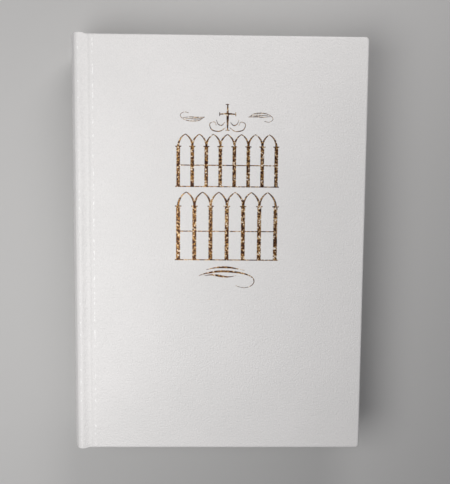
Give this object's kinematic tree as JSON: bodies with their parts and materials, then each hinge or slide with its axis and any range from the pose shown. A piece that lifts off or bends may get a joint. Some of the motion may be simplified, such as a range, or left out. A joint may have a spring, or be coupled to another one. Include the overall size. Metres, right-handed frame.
{
  "type": "bible",
  "caption": "Case-bound bible in white cloth with a rounded spine, French grooves, hinged covers and turning leaves.",
  "frame": {"origin": "on the supporting surface, under the middle of the closed book lying on its back cover", "axes": "+X from the spine to the fore edge, +Y from the tail to the head, +Z from the back cover to the front cover"},
  "size_m": [0.15, 0.2112, 0.034],
  "materials": {
    "white_cloth": "satin",
    "grey_board": "matte",
    "bible_paper": "matte",
    "endpaper": "matte",
    "mull": "matte",
    "glue": "satin",
    "kraft": "matte",
    "band_silk": "satin",
    "linen_thread": "matte",
    "gilt_foil": "satin"
  },
  "bodies": {
    "text_block": {"section_01": "bible_paper", "section_02": "bible_paper", "section_03": "bible_paper", "section_04": "bible_paper", "section_05": "bible_paper", "section_06": "bible_paper", "section_07": "bible_paper", "section_08": "bible_paper", "section_09": "bible_paper", "section_10": "bible_paper", "section_11": "bible_paper", "section_12": "bible_paper", "section_13": "bible_paper", "section_14": "bible_paper", "section_15": "bible_paper", "section_16": "bible_paper", "section_17": "bible_paper", "section_18": "bible_paper", "section_19": "bible_paper", "section_20": "bible_paper", "section_21": "bible_paper", "section_22": "bible_paper", "section_23": "bible_paper", "section_24": "bible_paper", "section_25": "bible_paper", "section_26": "bible_paper", "spine_cloth": "white_cloth", "spine_stiffener": "grey_board", "kraft_lining": "kraft", "spine_mull": "mull", "spine_glue": "glue", "head_band": "band_silk", "tail_band": "band_silk", "sewing_thread_1": "linen_thread", "sewing_thread_2": "linen_thread", "sewing_thread_3": "linen_thread", "sewing_thread_4": "linen_thread", "front_joint_cloth": "white_cloth", "back_joint_cloth": "white_cloth"},
    "front_cover": {"front_board": "grey_board", "front_cover_cloth": "white_cloth", "front_pastedown": "endpaper", "front_mull_flap": "mull"},
    "back_cover": {"back_board": "grey_board", "back_cover_cloth": "white_cloth", "back_pastedown": "endpaper", "back_mull_flap": "mull"},
    "front_flyleaf": {"front_flyleaf": "endpaper"},
    "front_leaf_1": {"front_leaf_1": "bible_paper"},
    "front_leaf_2": {"front_leaf_2": "bible_paper"},
    "front_leaf_3": {"front_leaf_3": "bible_paper"},
    "front_leaf_4": {"front_leaf_4": "bible_paper"},
    "front_leaf_5": {"front_leaf_5": "bible_paper"},
    "back_flyleaf": {"back_flyleaf": "endpaper"},
    "back_leaf_1": {"back_leaf_1": "bible_paper"},
    "back_leaf_2": {"back_leaf_2": "bible_paper"}
  },
  "joints": [
    {"name": "front_cover_hinge", "type": "hinge", "parent": "text_block", "child": "front_cover", "pos_m": [-0.0684, 0, 0.0312], "axis": [0, -1, 0], "range_deg": [0, 178], "deforming": ["front_joint_cloth"]},
    {"name": "back_cover_hinge", "type": "hinge", "parent": "text_block", "child": "back_cover", "pos_m": [-0.0684, 0, 0.0028], "axis": [0, 1, 0], "range_deg": [0, 178], "deforming": ["back_joint_cloth"]},
    {"name": "front_flyleaf_fold", "type": "hinge", "parent": "text_block", "child": "front_flyleaf", "pos_m": [-0.0672, 0, 0.03091], "axis": [0, -1, 0], "range_deg": [0, 128.17]},
    {"name": "front_leaf_1_fold", "type": "hinge", "parent": "text_block", "child": "front_leaf_1", "pos_m": [-0.0666, 0, 0.03073], "axis": [0, -1, 0], "range_deg": [0, 106.81]},
    {"name": "front_leaf_2_fold", "type": "hinge", "parent": "text_block", "child": "front_leaf_2", "pos_m": [-0.066, 0, 0.03055], "axis": [0, -1, 0], "range_deg": [0, 85.45]},
    {"name": "front_leaf_3_fold", "type": "hinge", "parent": "text_block", "child": "front_leaf_3", "pos_m": [-0.0654, 0, 0.03037], "axis": [0, -1, 0], "range_deg": [0, 64.09]},
    {"name": "front_leaf_4_fold", "type": "hinge", "parent": "text_block", "child": "front_leaf_4", "pos_m": [-0.0648, 0, 0.03019], "axis": [0, -1, 0], "range_deg": [0, 42.73]},
    {"name": "front_leaf_5_fold", "type": "hinge", "parent": "text_block", "child": "front_leaf_5", "pos_m": [-0.0642, 0, 0.03001], "axis": [0, -1, 0], "range_deg": [0, 21.37]},
    {"name": "back_flyleaf_fold", "type": "hinge", "parent": "text_block", "child": "back_flyleaf", "pos_m": [-0.0672, 0, 0.00309], "axis": [0, 1, 0], "range_deg": [0, 128.17]},
    {"name": "back_leaf_1_fold", "type": "hinge", "parent": "text_block", "child": "back_leaf_1", "pos_m": [-0.0666, 0, 0.00327], "axis": [0, 1, 0], "range_deg": [0, 85.45]},
    {"name": "back_leaf_2_fold", "type": "hinge", "parent": "text_block", "child": "back_leaf_2", "pos_m": [-0.066, 0, 0.00345], "axis": [0, 1, 0], "range_deg": [0, 42.73]}
  ],
  "couplings": [
    {"joint": "front_flyleaf_fold", "follows": "front_cover_hinge", "ratio": 0.72},
    {"joint": "front_leaf_1_fold", "follows": "front_cover_hinge", "ratio": 0.6},
    {"joint": "front_leaf_2_fold", "follows": "front_cover_hinge", "ratio": 0.48},
    {"joint": "front_leaf_3_fold", "follows": "front_cover_hinge", "ratio": 0.36},
    {"joint": "front_leaf_4_fold", "follows": "front_cover_hinge", "ratio": 0.24},
    {"joint": "front_leaf_5_fold", "follows": "front_cover_hinge", "ratio": 0.12},
    {"joint": "back_flyleaf_fold", "follows": "back_cover_hinge", "ratio": 0.72},
    {"joint": "back_leaf_1_fold", "follows": "back_cover_hinge", "ratio": 0.48},
    {"joint": "back_leaf_2_fold", "follows": "back_cover_hinge", "ratio": 0.24}
  ]
}
